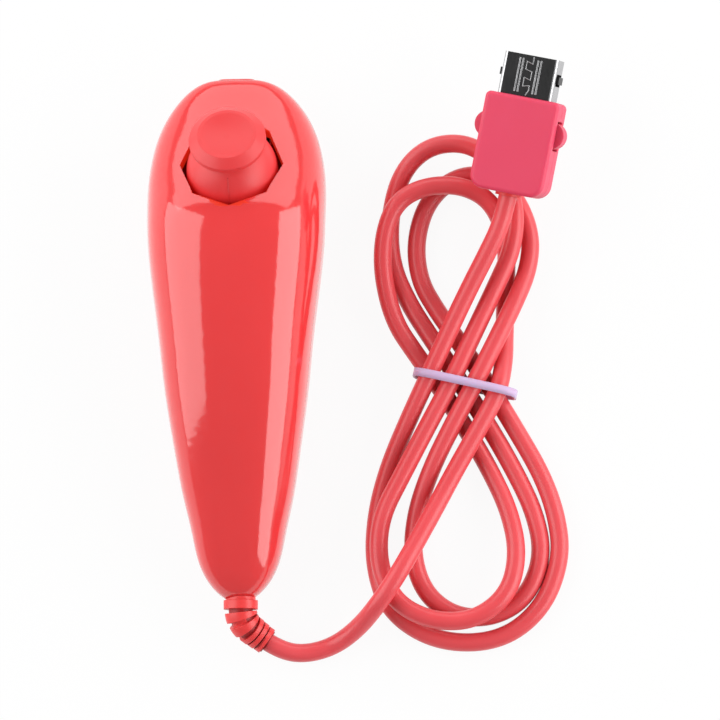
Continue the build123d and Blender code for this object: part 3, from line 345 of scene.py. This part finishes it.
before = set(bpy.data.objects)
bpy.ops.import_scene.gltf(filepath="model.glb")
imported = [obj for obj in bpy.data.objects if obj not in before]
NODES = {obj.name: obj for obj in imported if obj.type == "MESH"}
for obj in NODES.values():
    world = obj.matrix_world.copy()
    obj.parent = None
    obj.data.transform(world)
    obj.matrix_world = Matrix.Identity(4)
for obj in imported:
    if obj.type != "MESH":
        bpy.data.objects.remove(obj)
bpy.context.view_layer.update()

# Camera
camera_data = bpy.data.cameras.new("camera")
camera_data.lens = LENS_MM
camera_data.sensor_width = SENSOR_MM
camera_data.clip_end = CAMERA_CLIP_END
camera = add_object("camera", camera_data)
bpy.context.scene.camera = camera
up = (Vector((0, 1, 0)) - CAMERA_LOOK * CAMERA_LOOK.y).normalized()
right = up.cross(CAMERA_LOOK)
side = right * math.cos(CAMERA_ROLL) - up * math.sin(CAMERA_ROLL)
lift = up * math.cos(CAMERA_ROLL) + right * math.sin(CAMERA_ROLL)
camera.matrix_world = (Matrix.Translation(CAMERA_TARGET + CAMERA_LOOK * CAMERA_DISTANCE)
                       @ Matrix((side, lift, CAMERA_LOOK)).transposed().to_4x4())

# Cord: one spline from the boot through the tied turns to the plug
cord_curve = bpy.data.curves.new("cord", "CURVE")
cord_curve.dimensions = "3D"
cord_line = cord_curve.splines.new("NURBS")
cord_line.points.add(len(CORD_POINTS_MM) - 1)
for point, place in zip(cord_line.points, CORD_POINTS_MM):
    point.co = (*(value * MM for value in place), 1.0)
cord_line.order_u = 3
cord_line.use_endpoint_u = True
cord_line.resolution_u = CORD_RESOLUTION
cord_curve.bevel_depth = CORD_DIAMETER / 2
cord_curve.bevel_resolution = CORD_BEVEL_RESOLUTION
cord_curve.use_fill_caps = True
cord = add_object("cord", cord_curve)
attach(cord, "wand")
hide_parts("cord_lead", "cord_hank", "cord_tail")

# Tie band: a flat strip round all strands at the waist
tie_along = Vector((math.cos(TIE_LEAN), math.sin(TIE_LEAN), 0))
tie_side = Vector((-math.sin(TIE_LEAN), math.cos(TIE_LEAN), 0)) * (TIE_WIDTH / 2)
tie_centre = Vector(TIE_CENTRE_MM) * MM
tie_sections = []
for k in range(TIE_STEPS):
    across, rise = superellipse(2 * math.pi * k / TIE_STEPS)
    outer = tie_along * across * TIE_HALF_WIDE + Vector((0, 0, rise * TIE_HALF_HIGH))
    inner = (tie_along * across * (TIE_HALF_WIDE - TIE_THICK)
             + Vector((0, 0, rise * (TIE_HALF_HIGH - TIE_THICK))))
    tie_sections.append([tie_centre + inner - tie_side, tie_centre + outer - tie_side,
                         tie_centre + outer + tie_side, tie_centre + inner + tie_side])
tie = band("tie", tie_sections, "wand", closed=True)
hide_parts("cord_tie")

# Joint line of the connector's rolled sheet, on its broad upper side
to_row = plug_frame()
meander = [Vector((x * MM, SHELL_FRONT_Y + y * MM, SHELL_HALF_THICK)) for x, y in MEANDER_MM]
meander_sections = []
for k, here in enumerate(meander):
    before, after = meander[max(k - 1, 0)], meander[min(k + 1, len(meander) - 1)]
    heading = ((here - before).normalized() + (after - here).normalized()).normalized()
    out = heading.cross(UP).normalized() * (MEANDER_WIDTH / 2)
    meander_sections.append([to_row @ (here - out + MEANDER_LOW), to_row @ (here - out + MEANDER_HIGH),
                             to_row @ (here + out + MEANDER_HIGH), to_row @ (here + out + MEANDER_LOW)])
joint_line = band("connector_joint_line", meander_sections, "wand", smooth=False)

# Mould line down the tail side of the stick's dome
to_stick = stick_frame()
seam_wide = Vector((SEAM_WIDTH / 2, 0, 0))
seam_sections = []
for k in range(SEAM_STEPS + 1):
    turn = SEAM_START + (SEAM_END - SEAM_START) * k / SEAM_STEPS
    outward = Vector((0, -math.sin(turn), math.cos(turn)))
    inner = outward * (DOME_RADIUS - SEAM_PROUD)
    outer = outward * (DOME_RADIUS + SEAM_PROUD)
    seam_top = seam_wide * SEAM_TOP_SHARE
    seam_sections.append([to_stick @ (inner - seam_wide), to_stick @ (outer - seam_top),
                          to_stick @ (outer + seam_top), to_stick @ (inner + seam_wide)])
mould_line = band("dome_mould_line", seam_sections, "stick")

# Materials
red = plastic("red_shell", linear(229, 60, 61), linear(226, 56, 58), rough=0.12, grain_scale=1500.0,
              grain=0.02, edge=0.25 * MM, subsurface=0.3, coat=0.6)
button_red = plastic("red_button", linear(229, 60, 61), linear(226, 56, 58), rough=0.12,
                     grain_scale=1500.0, grain=0.02, edge=0.3 * MM, subsurface=0.3)
stick_red = plastic("stick_cap", linear(226, 62, 65), linear(222, 56, 58), rough=0.42,
                    grain_scale=1800.0, grain=0.12, edge=0.3 * MM, subsurface=0.2)
pink = plastic("pink_cover", linear(224, 66, 98), linear(220, 60, 92), rough=0.5, grain_scale=2200.0,
               grain=0.15, edge=0.5 * MM, subsurface=0.2)
cord_red = plastic("cord_sleeve", linear(229, 84, 90), linear(222, 70, 76), rough=0.32,
                   grain_scale=900.0, grain=0.10, edge=0.1 * MM, subsurface=0.1)
boot_red = plastic("boot", linear(236, 66, 66), linear(230, 58, 58), rough=0.38, grain_scale=1500.0,
                   grain=0.12, edge=0.25 * MM, subsurface=0.1)
# The boot's slots: a darker copy of the boot's red, as painted shade
boot_slot_shade = plastic("boot_slot_painted_shade", linear(176, 30, 32), linear(158, 24, 26), rough=0.5,
                    grain_scale=1500.0, grain=0.12, edge=0.1 * MM)
tie_lilac = plastic("tie_band", linear(206, 184, 216), linear(198, 172, 210), rough=0.4,
                    grain_scale=1200.0, grain=0.15, edge=0.1 * MM, subsurface=0.2)
dark_metal = metal("dark_metal", linear(66, 66, 66), linear(54, 54, 55), rough=0.38)
steel = metal("steel", linear(196, 196, 197), linear(170, 170, 172), rough=0.28)
gold = metal("contact", linear(236, 200, 120), linear(214, 176, 96), rough=0.25)
nylon = plastic("white_nylon", linear(232, 229, 220), linear(222, 219, 208), rough=0.42,
                grain_scale=1600.0, grain=0.1)
black = plastic("dark_plastic", linear(38, 38, 40), linear(30, 30, 32), rough=0.45,
                grain_scale=1600.0, grain=0.15)
board = plastic("board_green", linear(34, 110, 62), linear(26, 92, 50), rough=0.4,
                grain_scale=500.0, grain=0.2)
chip_black = plastic("chip_black", linear(28, 28, 30), linear(22, 22, 24), rough=0.5,
                     grain_scale=3000.0, grain=0.2)
wires = plastic("wire_white", linear(214, 212, 208), linear(200, 198, 194), rough=0.4,
                grain_scale=900.0, grain=0.1)
ceramic = plastic("ceramic", linear(170, 146, 118), linear(150, 128, 104), rough=0.4,
                  grain_scale=2500.0, grain=0.1)

paint(red, "upper_shell", "lower_shell")
paint(button_red, "front_button", "trigger")
paint(stick_red, "thumb_stick")
paint(pink, "plug_front_cover", "plug_rear_cover", "latch_left", "latch_right")
paint(boot_red, "strain_relief", "plug_neck")
paint(tie_lilac, "cord_tie")
# The connector's broad flat sides get the dark copy of its metal, a painted dark reflection
paint(dark_metal, "connector_shell")
paint(steel, "gimbal_pin", "centring_spring", "board_screws", "trigger_pin", "shell_screws",
      "clamp_screws", "latch_pins", "latch_springs")
paint(gold, "contact_pins")
paint(nylon, "stick_lever", "gimbal_ring", "slotted_bail", "centring_plate", "cable_header",
      "switch_plungers", "cord_clamp")
paint(black, "joystick_housing", "tilt_sensor_fore", "tilt_sensor_side", "button_switches",
      "connector_core")
paint(board, "main_board", "button_board")
paint(chip_black, "motion_chip", "controller_chip")
paint(ceramic, "board_capacitors")
paint(wires, "lead_wires")
paint(cord_red, "cord_inside", "cord_lead", "cord_hank", "cord_tail", "plug_cord_end")
cord_curve.materials.append(cord_red)
for piece, material in ((tie, tie_lilac), (joint_line, steel), (mould_line, stick_red)):
    piece.data.materials.append(material)
for node in NODES.values():
    for polygon in node.data.polygons:
        polygon.material_index = 0

# Connector: one metal in two copies, as painted reflection. The broad flat sides are dark, and the
# tilted edges, end and pressed ribs are bright as painted highlight. The latches' hooks are dark.
from_row = to_row.inverted()
from_row_turn = from_row.to_3x3()


def painted_highlight_part(centre, normal):
    place, facing = from_row @ centre, from_row_turn @ normal
    return abs(facing.z) < FLAT_FACING or abs(place.z) > SHELL_HALF_THICK + RIB_RISE


def hook_part(centre, normal):
    return (from_row @ centre).y > PLUG_HEAD_Y


second_paint("connector_shell", steel, painted_highlight_part)
for name in ("latch_left", "latch_right"):
    second_paint(name, dark_metal, hook_part)

# Boot: slots between its ribs painted darker, as painted shade in the recesses
start, knee, end = (Vector(place) * MM for place in BOOT_AXIS_MM)
boot_axis = []
for k in range(BOOT_STEPS + 1):
    share = k / BOOT_STEPS
    boot_axis.append(start * (1 - share) ** 2 + knee * 2 * share * (1 - share) + end * share ** 2)


def in_shaded_slot(centre, normal):
    return min((centre - place).length for place in boot_axis) < BOOT_SHADED_SLOT_RADIUS


second_paint("strain_relief", boot_slot_shade, in_shaded_slot)

# Stick's opening: its walls, the shell's underside near it and the housing's top that is seen down in it
# are painted warm red with an emission glow. This is painted light that stands in for light coming
# through the thin red plastic, and the housing itself is dark plastic under it.
painted_opening_glow = plastic("painted_opening_glow", linear(206, 48, 24), linear(190, 38, 18), rough=0.4,
                       grain_scale=1500.0, grain=0.05, edge=0.1 * MM)
painted_glow_surface = painted_opening_glow.node_tree.nodes["Principled BSDF"]
painted_glow_surface.inputs["Emission Color"].default_value = linear(192, 36, 16)
painted_glow_surface.inputs["Emission Strength"].default_value = PAINTED_GLOW_STRENGTH


def in_painted_glow_opening(centre, normal):
    away = Vector((centre.x, centre.y - DOME_CENTRE_MM[1] * MM, 0))
    inward = normal.dot(away) < OPENING_FACING * away.length
    return away.length < OPENING_REACH and (inward or normal.z < UNDERSIDE_FACING)


def painted_glow_housing_top(centre, normal):
    return normal.z > HOUSING_TOP_FACING


second_paint("upper_shell", painted_opening_glow, in_painted_glow_opening)
second_paint("joystick_housing", painted_opening_glow, painted_glow_housing_top)

# Floor: near white to the camera and in reflections, plain grey in the light that it scatters
floor_mesh = bpy.data.meshes.new("floor")
floor_mesh.from_pydata([(-FLOOR_REACH, -FLOOR_REACH, 0), (FLOOR_REACH, -FLOOR_REACH, 0),
                        (FLOOR_REACH, FLOOR_REACH, 0), (-FLOOR_REACH, FLOOR_REACH, 0)], [],
                       [(0, 1, 2, 3)])
floor = add_object("floor", floor_mesh)
floor.location.z = -FLOOR_DROP
floor_shader = Shader("floor")
floor_shader.surface.inputs["Base Color"].default_value = (FLOOR_GREY, FLOOR_GREY, FLOOR_GREY, 1.0)
floor_shader.surface.inputs["Roughness"].default_value = FLOOR_ROUGHNESS
floor_shader.surface.inputs["Specular IOR Level"].default_value = 0.0
glow = floor_shader.nodes.new("ShaderNodeEmission")
glow.inputs["Strength"].default_value = 1.0
rays = floor_shader.nodes.new("ShaderNodeLightPath")
seen = floor_shader.nodes.new("ShaderNodeMapRange")
seen.inputs["To Max"].default_value = FLOOR_SEEN_SHARE
shown = rays.outputs["Is Camera Ray"]
for kind in ("Is Glossy Ray", "Is Transmission Ray"):
    either = floor_shader.nodes.new("ShaderNodeMath")
    either.operation = "MAXIMUM"
    floor_shader.links.new(shown, either.inputs[0])
    floor_shader.links.new(rays.outputs[kind], either.inputs[1])
    shown = either.outputs["Value"]
floor_shader.links.new(shown, seen.inputs["Value"])
blend = floor_shader.nodes.new("ShaderNodeMixShader")
floor_shader.links.new(seen.outputs["Result"], blend.inputs["Fac"])
floor_shader.links.new(floor_shader.surface.outputs["BSDF"], blend.inputs[1])
floor_shader.links.new(glow.outputs["Emission"], blend.inputs[2])
floor_output = floor_shader.nodes["Material Output"]
floor_shader.links.new(blend.outputs["Shader"], floor_output.inputs["Surface"])
floor_mesh.materials.append(floor_shader.material)

world = bpy.data.worlds.new("studio")
bpy.context.scene.world = world
world.use_nodes = True
sky = world.node_tree.nodes["Background"]
sky.inputs["Color"].default_value = (1.0, 1.0, 1.0, 1.0)
sky.inputs["Strength"].default_value = SKY_STRENGTH

for name, place, width, height, power in LAMPS:
    softbox(name, place, width, height, power)

bpy.context.scene.view_settings.view_transform = "Standard"
